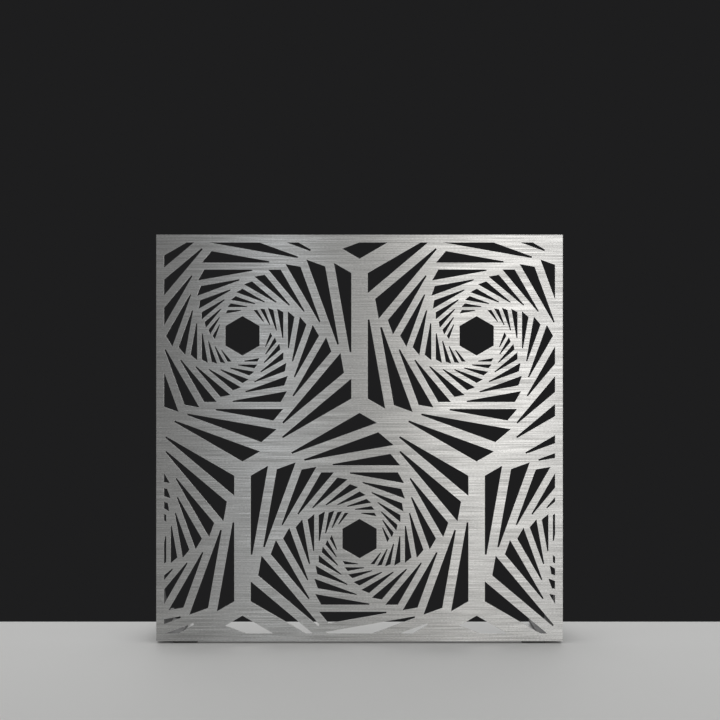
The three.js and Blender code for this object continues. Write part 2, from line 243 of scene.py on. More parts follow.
# Fine parallel lines: noises drawn out along V. Hair is the finest grain and Fleck the short dashes
# in it, and Streak is the single lines that show from a few steps away, in broader bands.
FINENESS_AND_SHORTNESS = {  # lumps across and along the grain, as multiples of Lines and of Run
    "hair": (4.3, 5.5),
    "fleck": (3.6, 30.0),
    "line": (1.35, 1.0),
    "band": (0.2, 0.5),
}
drawn_lines, takes, gives = start_effect(
    "drawn lines",
    {"Chart": ("Vector", None), "Lines": ("Float", 400.0), "Run": ("Float", 8.0)},
    ["Hair", "Fleck", "Streak"],
)
chart = add_node(drawn_lines, "ShaderNodeSeparateXYZ", {0: takes["Chart"]}).outputs
across = times(drawn_lines, chart["X"], takes["Lines"])
along = times(drawn_lines, chart["Y"], takes["Run"])
drawn = {}
for kind, (fineness, shortness) in FINENESS_AND_SHORTNESS.items():
    ends = {0: times(drawn_lines, across, fineness), 1: times(drawn_lines, along, shortness)}
    stretched = add_node(drawn_lines, "ShaderNodeCombineXYZ", ends).outputs[0]
    drawn[kind] = noise(drawn_lines, stretched, 1.0, 1.0, 0.6, "2D")
hair = carry(drawn_lines, drawn["hair"], 0.3, 0.7, 0.0, 1.0)
fleck = carry(drawn_lines, drawn["fleck"], 0.3, 0.7, 0.0, 1.0)
streak = carry(drawn_lines, blend(drawn_lines, 0.18, drawn["line"], drawn["band"]), 0.34, 0.66, 0.0, 1.0)
drawn_lines.links.new(hair, gives.inputs["Hair"])
drawn_lines.links.new(fleck, gives.inputs["Fleck"])
drawn_lines.links.new(streak, gives.inputs["Streak"])

# Marks of hands and cloths: wide soft clouds, and narrower smears across them.
handling_marks, takes, gives = start_effect(
    "handling marks",
    {"Place": ("Vector", None), "Clouds": ("Float", 5.0), "Smears": ("Float", 22.0)},
    ["Cloud", "Smear"],
)
cloud = noise(handling_marks, takes["Place"], takes["Clouds"], 3.0, 0.55)
sweep = {0: takes["Place"], "Rotation": (0.2, 0.5, 0.1), "Scale": (0.3, 1, 1)}
swept = add_node(handling_marks, "ShaderNodeMapping", sweep).outputs[0]
smear = carry(handling_marks, noise(handling_marks, swept, takes["Smears"], 4.0, 0.6), 0.48, 0.72, 0.0, 1.0)
handling_marks.links.new(cloud, gives.inputs["Cloud"])
handling_marks.links.new(smear, gives.inputs["Smear"])


def brushed_front():
    """Brushed stainless: horizontal lines, a sheen drawn out across them, and at each rim the band that the
    file leaves, painted brighter as a highlight.
    """
    finish, tree, shader = start_finish("brushed_front", 0.3, 1.0)
    lines = use_effect(tree, drawn_lines, Chart=grain_chart(tree), Lines=400.0, Run=6.5)
    marks = use_effect(tree, handling_marks, Place=object_place(tree), Clouds=4.0, Smears=18.0)
    filed_and_highlit = add_node(tree, "ShaderNodeAttribute", attribute_name="filed_and_highlit").outputs["Fac"]

    flecked = carry(tree, blend(tree, 0.45, lines["Streak"], lines["Fleck"]), 0.15, 0.85, 0, 1)
    streaked = blend_colours(tree, flecked, (0.39, 0.388, 0.381, 1), (0.79, 0.787, 0.777, 1))
    haired = blend_colours(tree, times(tree, lines["Hair"], 0.25), streaked, (0.4, 0.398, 0.392, 1))
    clouds = carry(tree, marks["Cloud"], 0.35, 0.7, 0, 0.1)
    clouded = blend_colours(tree, clouds, haired, (0.5, 0.49, 0.475, 1))
    # Painted highlight: the band that the file leaves at each rim is painted brighter. Only its lower
    # roughness, below, is the real filing.
    colour = blend_colours(tree, times(tree, filed_and_highlit, 0.5), clouded, (0.86, 0.858, 0.85, 1))

    drawn = carry(tree, lines["Streak"], 0, 1, 0.33, 0.27)
    smeared = plus(tree, drawn, times(tree, marks["Smear"], 0.03))
    rough = maths(tree, "SUBTRACT", smeared, times(tree, filed_and_highlit, 0.05))
    shader.inputs["Anisotropic"].default_value = 0.9
    tangent = add_node(tree, "ShaderNodeTangent", direction_type="UV_MAP", uv_map="grain").outputs[0]
    feed(tree, shader, Base_Color=colour, Roughness=rough, Tangent=tangent)
    add_relief(tree, shader, lines["Hair"], 0.00002, 0.2)
    return finish


def laser_cut():
    """The wall of a cut: fine drag lines through the thickness, straw and blue-grey from the heat."""
    finish, tree, shader = start_finish("laser_cut", 0.58, 1.0)
    lines = use_effect(tree, drawn_lines, Chart=grain_chart(tree), Lines=2600.0, Run=90.0)
    marks = use_effect(tree, handling_marks, Place=object_place(tree), Clouds=25.0, Smears=60.0)
    dragged = blend_colours(tree, lines["Streak"], (0.18, 0.177, 0.173, 1), (0.34, 0.336, 0.328, 1))
    heat = blend_colours(tree, marks["Cloud"], (0.31, 0.265, 0.2, 1), (0.2, 0.21, 0.235, 1))
    colour = blend_colours(tree, times(tree, lines["Hair"], 0.4), dragged, heat)
    feed(tree, shader, Base_Color=colour, Roughness=carry(tree, lines["Hair"], 0.3, 0.7, 0.52, 0.66))
    add_relief(tree, shader, lines["Streak"], 0.00008, 0.6)
    return finish


def rolled_back():
    """Stainless as it left the rolls: dull silver grey, faint long lines and the marks of handling."""
    finish, tree, shader = start_finish("rolled_back", 0.42, 1.0)
    lines = use_effect(tree, drawn_lines, Chart=grain_chart(tree), Lines=350.0, Run=4.0)
    marks = use_effect(tree, handling_marks, Place=object_place(tree), Clouds=7.0, Smears=26.0)
    lined = blend_colours(tree, lines["Streak"], (0.5, 0.5, 0.495, 1), (0.58, 0.578, 0.57, 1))
    clouds = carry(tree, marks["Cloud"], 0.3, 0.75, 0.0, 0.3)
    colour = blend_colours(tree, clouds, lined, (0.44, 0.435, 0.42, 1))
    dulled = carry(tree, marks["Cloud"], 0.3, 0.7, 0.36, 0.46)
    rough = plus(tree, dulled, times(tree, marks["Smear"], 0.1))
    feed(tree, shader, Base_Color=colour, Roughness=rough)
    add_relief(tree, shader, lines["Hair"], 0.00003, 0.15)
    return finish


def rim_edges(node):
    """Both ends of each rim edge of a cut sheet, and the flat direction from that edge into the metal.

    A rim edge is an edge of a wall's triangle that lies in the front plane. The direction is that
    wall's inward normal."""
    keys = np.round(points_of(node.data) / MICRON).astype(np.int64)
    corners, first = np.unique(keys, axis=0, return_inverse=True)
    triangles = first.reshape(-1)[triangles_of(node.data)]
    places = corners * MICRON
    in_front = corners[:, 1] == corners[:, 1].min()
    starts, ends, thirds = (np.roll(triangles, -turn, axis=1).ravel() for turn in range(3))
    rim = in_front[starts] & in_front[ends] & ~in_front[thirds]
    starts, ends, thirds = starts[rim], ends[rim], thirds[rim]
    inward = np.cross(places[thirds] - places[starts], places[ends] - places[starts])[:, [0, 2]]
    return places, starts, ends, inward / np.linalg.norm(inward, axis=1, keepdims=True)


def cut_sheet(name, node):
    """The sheet, as a rim profile carried round each outline and a flat front and back between them.

    A station is a corner with one direction into the metal. An opening's corner has several, turned
    in even steps from its first edge's direction to its second's, and the sheet's own corner has the
    mitre's direction. A point is its station's corner, plus its direction times the profile's
    distance into the metal, at the profile's depth behind the front."""
    places, starts, ends, inward = rim_edges(node)
    low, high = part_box(node.name)
    thickness = high.y - low.y
    leaving, arriving = (np.full(len(places), -1) for _ in range(2))
    leaving[starts] = np.arange(len(starts))
    arriving[ends] = np.arange(len(ends))
    before = inward[arriving[starts]]
    first_angle = np.arctan2(before[:, 1], before[:, 0])
    turn = np.arctan2(inward[:, 1], inward[:, 0]) - first_angle
    turn = (turn + np.pi) % (2 * np.pi) - np.pi
    angles = first_angle[:, None] + turn[:, None] * np.linspace(0, 1, TURN_STEPS + 1)
    directions = np.stack([np.cos(angles), np.sin(angles)], axis=-1)
    mitre = (before + inward) / (1 + (before * inward).sum(axis=1))[:, None]
    outside = np.abs(places[starts][:, 0]) > high.x - MICRON
    directions[outside] = mitre[outside][:, None]

    round_front = np.linspace(0, np.pi / 2, 5)
    round_back = np.linspace(0, np.pi / 2, 3)
    into = np.concatenate([
        [FILED_AND_HIGHLIT_BAND],
        FRONT_BREAK * (1 - np.sin(round_front)),
        BACK_BREAK * (1 - np.cos(round_back)),
    ])
    depth = np.concatenate([
        [0.0],
        FRONT_BREAK * (1 - np.cos(round_front)),
        thickness - BACK_BREAK * (1 - np.sin(round_back)),
    ])
    flat = places[starts][:, None, None, [0, 2]] + directions[:, :, None] * into[None, None, :, None]
    back = np.broadcast_to(low.y + depth, flat.shape[:3])
    rims = np.stack([flat[..., 0], back, flat[..., 1]], axis=-1)

    stations, ring = TURN_STEPS + 1, len(into)
    at = np.arange(len(starts) * stations).reshape(-1, stations)
    onward = np.concatenate([at[:, 1:], at[leaving[ends]][:, :1]], axis=1)
    step = np.arange(ring - 1)
    quads = np.stack([
        at[..., None] * ring + step,
        onward[..., None] * ring + step,
        onward[..., None] * ring + step + 1,
        at[..., None] * ring + step + 1,
    ], axis=-1).reshape(-1, 4)

    outline_number, reach = np.arange(len(starts)), leaving[ends]
    for _ in range(OUTLINE_REACH):
        outline_number = np.minimum(outline_number, outline_number[reach])
        reach = reach[reach]
    outline_number[outside] = -1

    outline = np.stack([at.ravel(), onward.ravel()], axis=1)
    points, faces = rims.reshape(-1, 3), [quads]
    for column in (0, ring - 1):
        edge_points = rims[:, :, column].reshape(-1, 3)
        keys = np.round(edge_points[:, [0, 2]] / MICRON)
        keys, station, same = np.unique(keys, axis=0, return_index=True, return_inverse=True)
        edges = same.reshape(-1)[outline]
        edges = edges[edges[:, 0] != edges[:, 1]]
        flat_points, _, flat_faces, origins, _, _ = delaunay_2d_cdt(
            (keys * MICRON).tolist(), edges.tolist(), [], 0, MICRON / 10)
        flat_points = np.array([tuple(point) for point in flat_points])
        owner = outline_number[station // stations][[origin[0] for origin in origins]]
        owners = owner[np.array(flat_faces)]
        in_opening = (owners[:, 0] >= 0) & (owners == owners[:, :1]).all(axis=1)
        level = np.full(len(flat_points), edge_points[0, 1])
        faces.append(np.array(flat_faces)[~in_opening] + len(points))
        points = np.concatenate([points, np.stack([flat_points[:, 0], level, flat_points[:, 1]], axis=1)])
    return closed_mesh(name, points, [face for group in faces for face in group.tolist()])


def mark_rims(mesh, front):
    """The attribute of the band that the file leaves: one on the front rims' rounding, and nought on the flat
    face and the back. The material paints a highlight where it is one.

    A corner is on the rounding where it lies behind the front plane, or in it but beside the rounding."""
    places = points_of(mesh)
    rounding = (places[:, 1] > front + MICRON) & (places[:, 1] < front + FRONT_BREAK + MICRON)
    ends = np.empty(len(mesh.edges) * 2, np.int32)
    mesh.edges.foreach_get("vertices", ends)
    ends = ends.reshape(-1, 2)
    short = np.linalg.norm(places[ends[:, 0]] - places[ends[:, 1]], axis=1) < FRONT_BREAK / 2
    beside = short & rounding[ends].any(axis=1)
    filed_and_highlit = rounding.copy()
    filed_and_highlit[ends[beside].ravel()] = True
    layer = mesh.attributes.new("filed_and_highlit", "FLOAT", "POINT")
    layer.data.foreach_set("value", filed_and_highlit.astype(np.float32))


sheet_mesh = cut_sheet("screen_face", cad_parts["face_sheet"])
mark_rims(sheet_mesh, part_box("face_sheet")[0].y)
facing = normals_of(sheet_mesh)[:, 1]
wall = np.abs(facing) < WALL_TILT
lay_grain(sheet_mesh, np.where(wall[:, None], (0, 1, 0), (1, 0, 0)))
finish_number = np.where(wall, 1, np.where(facing > 0, 2, 0))
sheet_mesh.polygons.foreach_set("material_index", finish_number.astype(np.int32))
screen_face = add_piece(sheet_mesh, brushed_front(), laser_cut(), rolled_back())
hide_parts("face_sheet")


# ---- Frame ------------------------------------------------------------------------------------
# Four lengths of angle folded from 3 mm stainless, mitred at the corners. The flange lies on the
# back of the sheet behind its border, and the web is the screen's edge. Finish: as rolled.

SMOOTH_ANGLE = np.radians(35)  # facets of a fold or a hole are smooth, and edges are not
SHARP_ANGLE = np.radians(50)  # edges that a file or a grinder breaks
FLAT_ANGLE = np.radians(0.5)  # triangles that meet at less are one face
BREAK_STEPS = 2
SAWN_BREAK = 0.0004

# Brighter edges, partly wear and partly a painted highlight, from how far the surface turns within a given
# width, broken up by noise.
worn_and_highlit_edges, takes, gives = start_effect(
    "worn and highlit edges",
    {"Place": ("Vector", None), "Width": ("Float", 0.0008), "Patches": ("Float", 60.0)},
    ["Mask"],
)
rounded = add_node(worn_and_highlit_edges, "ShaderNodeBevel", {"Radius": takes["Width"]}, samples=4).outputs[0]
true_normal = add_node(worn_and_highlit_edges, "ShaderNodeNewGeometry").outputs["Normal"]
directions = {0: rounded, 1: true_normal}
agreement = add_node(worn_and_highlit_edges, "ShaderNodeVectorMath", directions, operation="DOT_PRODUCT")
turned = carry(worn_and_highlit_edges, agreement.outputs["Value"], 0.99, 0.8, 0.0, 1.0)
patches = noise(worn_and_highlit_edges, takes["Place"], takes["Patches"], 3.0, 0.6)
patchy = carry(worn_and_highlit_edges, patches, 0.35, 0.6, 0.25, 1.0)
worn_and_highlit_edges.links.new(times(worn_and_highlit_edges, turned, patchy), gives.inputs["Mask"])


def shade_by_angle(mesh):
    """Shades round stretches smooth, and leaves the edges between them crisp."""
    mesh.shade_smooth()
    mesh.set_sharp_from_angle(angle=SMOOTH_ANGLE)


def merged_copy(node, name, grain):
    """A copy of a solid's mesh, its triangles joined into whole faces."""
    shell = bmesh.new()
    shell.from_mesh(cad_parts[node].data)
    bmesh.ops.remove_doubles(shell, verts=shell.verts, dist=MICRON)
    bmesh.ops.dissolve_limit(shell, angle_limit=FLAT_ANGLE, verts=shell.verts, edges=shell.edges)
    mesh = bpy.data.meshes.new(name)
    shell.to_mesh(mesh)
    shell.free()
    lay_grain(mesh, grain)
    shade_by_angle(mesh)
    return mesh


def break_edges(piece, width):
    """Rounds a piece's sharp edges by a width."""
    bevel = piece.modifiers.new("broken edges", "BEVEL")
    bevel.width = width
    bevel.segments = BREAK_STEPS
    bevel.limit_method = "ANGLE"
    bevel.angle_limit = SHARP_ANGLE
    weighted = piece.modifiers.new("even shading", "WEIGHTED_NORMAL")
    weighted.keep_sharp = True


def rolled_angle():
    """Folded stainless as rolled, scratched lengthwise, with edges painted brighter as wear and as a
    highlight, and a dusting of marks.
    """
    finish, tree, shader = start_finish("rolled_angle", 0.34, 1.0)
    place = object_place(tree)
    lines = use_effect(tree, drawn_lines, Chart=grain_chart(tree), Lines=450.0, Run=6.0)
    marks = use_effect(tree, handling_marks, Place=place, Clouds=12.0, Smears=40.0)
    worn_and_highlit = use_effect(tree, worn_and_highlit_edges, Place=place)["Mask"]
    lined = blend_colours(tree, lines["Streak"], (0.47, 0.468, 0.46, 1), (0.57, 0.568, 0.56, 1))
    clouds = carry(tree, marks["Cloud"], 0.35, 0.7, 0, 0.35)
    marked = blend_colours(tree, clouds, lined, (0.4, 0.395, 0.38, 1))
    # The edges are painted brighter: partly wear, partly a painted highlight.
    colour = blend_colours(tree, worn_and_highlit, marked, (0.74, 0.738, 0.73, 1))
    drawn = carry(tree, lines["Streak"], 0, 1, 0.37, 0.28)
    rough = plus(tree, drawn, times(tree, marks["Smear"], 0.08))
    feed(tree, shader, Base_Color=colour, Roughness=rough)
    add_relief(tree, shader, lines["Hair"], 0.00003, 0.2)
    return finish


angle_finish = rolled_angle()
for bar, grain in {
    "bottom_rail": (1, 0, 0),
    "left_stile": (0, 0, 1),
    "top_rail": (1, 0, 0),
    "right_stile": (0, 0, 1),
}.items():
    angle = add_piece(merged_copy("frame_" + bar, "folded_" + bar, grain), angle_finish)
    break_edges(angle, SAWN_BREAK)
    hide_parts("frame_" + bar)


# ---- Corner plates ----------------------------------------------------------------------------
# An L of 3 mm stainless in each corner, laser cut and laid over the mitre. The end studs of two
# neighbouring sides pass through it, so that it ties the mitre together.

PLATE_BREAK = 0.0003

for corner in ("bottom_left", "top_left", "top_right", "bottom_right"):
    tie_mesh = merged_copy("corner_plate_" + corner, "corner_tie_" + corner, (1, 0, 0))
    tie = add_piece(tie_mesh, angle_finish)
    break_edges(tie, PLATE_BREAK)
    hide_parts("corner_plate_" + corner)


# ---- Weld studs -------------------------------------------------------------------------------
# M5 stainless studs, fused to the back of the sheet by their collars, so that nothing shows on its
# face. The thread is rolled.

THREAD_PITCH = 0.0008
THREAD_CREST = 0.0025  # radius
THREAD_ROOT = 0.00206
CREST_SHARPNESS = 1.25  # steepness of the ridge, whose crest and root are clipped flat
CREST_SHIFT = 0.05
COLLAR_RADIUS = 0.0032
COLLAR_HEIGHT = 0.0009
COLLAR_SIDE = 0.7  # upright part of the collar's side, as a share of its height
COLLAR_ROUNDING = 0.0002
TIP_CHAMFER = 0.0007
TIP_ROUNDING = 0.0001
THREAD_SIDES = 24
THREAD_ROWS = 6  # rows to a pitch


def turned_points(centre, axis, side, radii, along):
    """Places of a turned surface: centre + axis * along + the radius swept round from side.

    radii and along are grids with one row for each place on the profile and one column for each
    angle. A row of no radius is a pole."""
    centre, axis, side = (np.array(vector, float) for vector in (centre, axis, side))
    angle = np.linspace(0, 2 * np.pi, radii.shape[1], endpoint=False)
    spoke = np.cos(angle)[:, None] * side + np.sin(angle)[:, None] * np.cross(axis, side)
    return centre + along[..., None] * axis + radii[..., None] * spoke


def threaded(radii, along, begin, end):
    """Cuts a thread into a grid of radii, from the place begin along the axis to the place end.

    A ridge climbs one pitch a turn. Its height is the distance from the nearer root, a triangle that is
    clipped flat at its crest and its root."""
    share = along / THREAD_PITCH - np.arange(radii.shape[1]) / radii.shape[1]
    ridge = np.abs((share % 1) * 2 - 1)
    cut = THREAD_ROOT + (THREAD_CREST - THREAD_ROOT) * np.clip(ridge * CREST_SHARPNESS - CREST_SHIFT, 0, 1)
    cutting = (along >= begin) & (along <= end)
    return np.where(cutting, np.minimum(radii, cut), radii)


def stud_mesh(name, low, high):
    """A collar and a threaded shank along Y, in a node's box."""
    length = high.y - low.y
    rows = np.linspace(COLLAR_HEIGHT, length - TIP_CHAMFER, int(THREAD_ROWS * length / THREAD_PITCH))
    profile = np.array([
        (0, 0),
        (COLLAR_RADIUS, 0),
        (COLLAR_RADIUS, COLLAR_HEIGHT * COLLAR_SIDE),
        (COLLAR_RADIUS - COLLAR_ROUNDING, COLLAR_HEIGHT),
        *((THREAD_CREST, row) for row in rows),
        (THREAD_CREST - TIP_CHAMFER * 0.9, length - TIP_ROUNDING),
        (THREAD_CREST - TIP_CHAMFER * 1.1, length),
        (0, length),
    ])
    radii, along = (np.repeat(profile[:, [column]], THREAD_SIDES, axis=1) for column in (0, 1))
    radii = threaded(radii, along, COLLAR_HEIGHT * 1.1, length - TIP_CHAMFER)
    centre = ((low.x + high.x) / 2, low.y, (low.z + high.z) / 2)
    points = turned_points(centre, (0, 1, 0), (1, 0, 0), radii, along)
    return closed_mesh(name, points, grid_faces(*radii.shape, round_columns=True).tolist())


def bright_fastener():
    """Plain stainless of small fasteners, slightly uneven: darker and paler clouds at random."""
    finish, tree, shader = start_finish("bright_fastener", 0.28, 1.0)
    place = object_place(tree)
    marks = use_effect(tree, handling_marks, Place=place, Clouds=140.0, Smears=500.0)
    worn_and_highlit = use_effect(tree, worn_and_highlit_edges, Place=place, Width=0.0003, Patches=400.0)["Mask"]
    clouded = blend_colours(tree, marks["Cloud"], (0.4, 0.395, 0.38, 1), (0.6, 0.596, 0.585, 1))
    # The edges are painted brighter: partly wear, partly a painted highlight.
    colour = blend_colours(tree, worn_and_highlit, clouded, (0.78, 0.775, 0.76, 1))
    dulled = carry(tree, marks["Cloud"], 0.3, 0.7, 0.22, 0.32)
    rough = plus(tree, dulled, times(tree, marks["Smear"], 0.12))
    feed(tree, shader, Base_Color=colour, Roughness=rough)
    add_relief(tree, shader, marks["Smear"], 0.00002, 0.2)
    return finish


fastener_finish = bright_fastener()
sides = ("bottom", "left", "top", "right")
stud_places = [f"{side}_{count}" for side in sides for count in range(1, 5)]
for place_name in stud_places:
    node = "weld_stud_" + place_name
    stud = add_piece(stud_mesh("threaded_stud_" + place_name, *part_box(node)), fastener_finish)
    shade_by_angle(stud.data)
    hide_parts(node)


# ---- Flange nuts ------------------------------------------------------------------------------
# M5 stainless hexagon nuts, 8 mm across the flats, each with its own washer face. They are cold
# formed, so their corners are rounded off by a cone at the top.

NUT_FLATS = 0.008
NUT_FLANGE_RIM = 0.0007  # height of the rim's upright side
NUT_RIM_ROUNDING = 0.0002
NUT_LAND = 0.8  # radius inside which the washer face is dished, as a share of the flange's
NUT_DISHING = 0.0002
NUT_CONE_FOOT = 0.0013  # height where the flange's cone meets the six flats
NUT_CONE_RADIUS = 0.0039  # where the top's cone starts
NUT_CONE_ANGLE = np.radians(30)
NUT_SIDES = 72
NUT_HOLE = 0.00253  # radius
NUT_MOUTH = 0.0029  # radius
NUT_MOUTH_DEPTH = 0.0004
FASTENER_TURN = 0.61  # each fastener stopped at its own angle


def hexagon(flats, sides, turn):
    """Distance from a hexagon's middle to its outline.

    It is half the width across the flats, over the cosine of the angle from the nearest flat's middle."""
    angle = np.linspace(0, 2 * np.pi, sides, endpoint=False) + turn
    return flats / 2 / np.cos((angle % (np.pi / 3)) - np.pi / 6)


def nut_mesh(name, low, high, turn):
    """A closed ring: bore, washer face, rim, cone, six flats, chamfered top and countersunk mouth."""
    height, flange = high.y - low.y, (high.x - low.x) / 2
    flats = hexagon(NUT_FLATS, NUT_SIDES, turn)
    level = np.ones(NUT_SIDES)
    shoulder = height - np.maximum(flats - NUT_CONE_RADIUS, 0) * np.tan(NUT_CONE_ANGLE)
    profile = [
        (NUT_MOUTH * level, NUT_DISHING * level),
        (flange * NUT_LAND * level, 0 * level),
        ((flange - NUT_RIM_ROUNDING) * level, 0.00005 * level),
        (flange * level, 0.00025 * level),
        (flange * level, NUT_FLANGE_RIM * level),
        ((flange - NUT_RIM_ROUNDING) * level, (NUT_FLANGE_RIM + 0.00015) * level),
        (flats + 0.00025, NUT_CONE_FOOT * level),
        (flats + 0.00005, (NUT_CONE_FOOT + 0.0003) * level),
        (flats, (NUT_CONE_FOOT + 0.0005) * level),
        (flats, shoulder),
        (np.minimum(flats, NUT_CONE_RADIUS), height * level),
        (NUT_MOUTH * level, height * level),
        (NUT_HOLE * level, (height - NUT_MOUTH_DEPTH) * level),
        (NUT_HOLE * level, 0.0005 * level),
    ]
    radii, along = (np.array([row[part] for row in profile]) for part in (0, 1))
    centre = ((low.x + high.x) / 2, low.y, (low.z + high.z) / 2)
    points = turned_points(centre, (0, 1, 0), (1, 0, 0), radii, along)
    return closed_mesh(name, points, grid_faces(*radii.shape, round_rows=True, round_columns=True).tolist())


for number, place_name in enumerate(stud_places):
    node = "flange_nut_" + place_name
    mesh = nut_mesh("hexagon_nut_" + place_name, *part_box(node), number * FASTENER_TURN)
    nut = add_piece(mesh, fastener_finish)
    shade_by_angle(nut.data)
    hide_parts(node)


# ---- Feet -------------------------------------------------------------------------------------
# On each side an upright 8 mm plate stands on a flat bar, and a fillet weld runs along its inner
# side. Both are mild steel, powder coated black after welding.

FOOT_BREAK = 0.0008
WELD_LEG = 0.0045
WELD_RIPPLE = 0.0021  # from one ripple to the next
WELD_SWEEP = 1.4  # how far a ripple lags behind at the toes, in ripples
WELD_BULGE = 0.16  # of the bead's face, as a share of its leg
WELD_RIPPLE_BULGE = 0.07  # what a ripple adds to that
WELD_BACK_GAP = 0.004  # bare corner at the back end
WELD_FRONT_GAP = 0.003  # bare corner at the front end
WELD_ROWS = 320
WELD_COLUMNS = 7

# The bloom of powder or moulded rubber: small lumps, and finer grit on them.
fine_grit, takes, gives = start_effect(
    "fine grit",
    {"Place": ("Vector", None), "Lumps": ("Float", 700.0)},
    ["Height", "Speck"],
)
lumps = noise(fine_grit, takes["Place"], takes["Lumps"], 2.0, 0.5)
grit = noise(fine_grit, takes["Place"], times(fine_grit, takes["Lumps"], 3.1), 1.0, 0.5)
height = plus(fine_grit, times(fine_grit, lumps, 0.7), times(fine_grit, grit, 0.3))
fine_grit.links.new(height, gives.inputs["Height"])
fine_grit.links.new(carry(fine_grit, grit, 0.58, 0.75, 0.0, 1.0), gives.inputs["Speck"])


def powder_coat():
    """Black powder coat: a satin skin with a fine orange peel, paler edges that are partly rubbed and partly
    a painted highlight, and a film of dust.
    """
    finish, tree, shader = start_finish("black_powder_coat", 0.5, 0.0)
    place = object_place(tree)
    peel = use_effect(tree, fine_grit, Place=place, Lumps=650.0)
    marks = use_effect(tree, handling_marks, Place=place, Clouds=16.0, Smears=50.0)
    worn_and_highlit = use_effect(tree, worn_and_highlit_edges, Place=place, Width=0.0012, Patches=45.0)["Mask"]
    normal = add_node(tree, "ShaderNodeNewGeometry").outputs["Normal"]
    up = add_node(tree, "ShaderNodeSeparateXYZ", {0: normal}).outputs["Z"]
    dust = times(tree, carry(tree, up, 0.3, 1.0, 0.05, 0.5), marks["Cloud"])

    specks = times(tree, peel["Speck"], 0.35)
    specked = blend_colours(tree, specks, (0.016, 0.016, 0.0165, 1), (0.05, 0.05, 0.05, 1))
    # The edges are painted paler: partly rubbed coat, partly a painted highlight.
    rubbed_and_highlit = blend_colours(tree, times(tree, worn_and_highlit, 0.5), specked, (0.075, 0.074, 0.072, 1))
    colour = blend_colours(tree, times(tree, dust, 0.35), rubbed_and_highlit, (0.17, 0.165, 0.155, 1))
    rough = plus(tree, carry(tree, marks["Smear"], 0, 1, 0.46, 0.58), times(tree, dust, 0.4))
    feed(tree, shader, Base_Color=colour, Roughness=rough)
    add_relief(tree, shader, peel["Height"], 0.00012, 0.35)
    return finish


def weld_mesh(name, plate_side, sole_top, back, front, inwards):
    """A fillet weld along Y: a triangle's section with a bulging face, carried along the corner.

    The face bulges by a sine across it. Its leg swells and shrinks with each ripple, which lags
    behind at the two toes, and tapers to nothing at both ends."""
    share = np.linspace(0, 1, WELD_ROWS)[:, None]
    across = np.linspace(0, 1, WELD_COLUMNS)[None, :]
    along = front + (back - front) * share
    ripple = (along / WELD_RIPPLE + WELD_SWEEP * (across - 0.5) ** 2) % 1
    wander = 0.05 * np.sin(along * 310) + 0.04 * np.sin(along * 730 + 1.0)
    taper = np.sqrt(np.clip(np.minimum(share, 1 - share) * (back - front) / WELD_LEG, 0, 1))
    leg = WELD_LEG * (1 + wander) * taper
    bulge = leg * (WELD_BULGE + WELD_RIPPLE_BULGE * ripple) * np.sin(np.pi * across)
    away = leg * (1 - across) + bulge
    up = leg * across + bulge
    corner = np.zeros_like(share)
    away, up = np.concatenate([corner, away], axis=1), np.concatenate([corner, up], axis=1)
    along = np.broadcast_to(along, away.shape)
    points = np.stack([plate_side + inwards * away, along, sole_top + up], axis=-1)
    return closed_mesh(name, points, grid_faces(*away.shape, round_columns=True).tolist())


coat = powder_coat()
for side, inwards in {"left": 1, "right": -1}.items():
    for node, name in {"foot_plate_": "upright_plate_", "foot_sole_": "sole_bar_"}.items():
        plate = add_piece(merged_copy(node + side, name + side, (0, 1, 0)), coat)
        break_edges(plate, FOOT_BREAK)
        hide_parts(node + side)
    plate_low, plate_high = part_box("foot_plate_" + side)
    sole_low, sole_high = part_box("foot_sole_" + side)
    plate_side = plate_high.x if side == "left" else plate_low.x
    back, front = plate_high.y - WELD_BACK_GAP, sole_low.y + WELD_FRONT_GAP
    weld = add_piece(weld_mesh("foot_weld_" + side, plate_side, sole_high.z, back, front, inwards), coat)
    shade_by_angle(weld.data)


# ---- Foot screws ------------------------------------------------------------------------------
# M5 countersunk stainless screws with a hexagon socket, three to a side, flush with the web. Each
# goes through the web into a thread tapped in the foot plate.

SCREW_HEAD = 0.0025
SCREW_SOCKET = 0.003  # across its flats
SCREW_SOCKET_DEPTH = 0.0016
SCREW_RIM = 0.00025  # upright edge of the head
SCREW_NECK = 0.0003  # plain shank under the head
SCREW_ROUNDING = 0.00015
SCREW_SIDES = 48


def screw_mesh(name, low, high, outwards, turn):
    """A socket, a flat head, its cone and a threaded shank, turned about X from the head's middle."""
    length, head = high.x - low.x, (high.z - low.z) / 2
    socket = hexagon(SCREW_SOCKET, SCREW_SIDES, turn)
    level = np.ones(SCREW_SIDES)
    row_count = int(THREAD_ROWS * (length - SCREW_HEAD) / THREAD_PITCH)
    rows = np.linspace(SCREW_HEAD + SCREW_NECK, length - TIP_CHAMFER, row_count)
    profile = [
        (0 * level, (SCREW_SOCKET_DEPTH + 0.0003) * level),
        (socket * 0.98, SCREW_SOCKET_DEPTH * level),
        (socket, (SCREW_SOCKET_DEPTH - 0.0001) * level),
        (socket, SCREW_ROUNDING * level),
        (socket + SCREW_ROUNDING, 0 * level),
        ((head - 0.0002) * level, 0 * level),
        (head * level, SCREW_ROUNDING * level),
        (head * level, SCREW_RIM * level),
        ((THREAD_CREST + 0.0001) * level, SCREW_HEAD * level),
        *((THREAD_CREST * level, row * level) for row in rows),
        ((THREAD_CREST - TIP_CHAMFER) * level, length * level),
        (0 * level, length * level),
    ]
    radii, along = (np.array([row[part] for row in profile]) for part in (0, 1))
    radii = threaded(radii, along, SCREW_HEAD + 0.0002, length - TIP_CHAMFER)
    centre = (high.x if outwards > 0 else low.x, (low.y + high.y) / 2, (low.z + high.z) / 2)
    points = turned_points(centre, (-outwards, 0, 0), (0, 0, 1), radii, along)
    return closed_mesh(name, points, grid_faces(*radii.shape, round_columns=True).tolist())


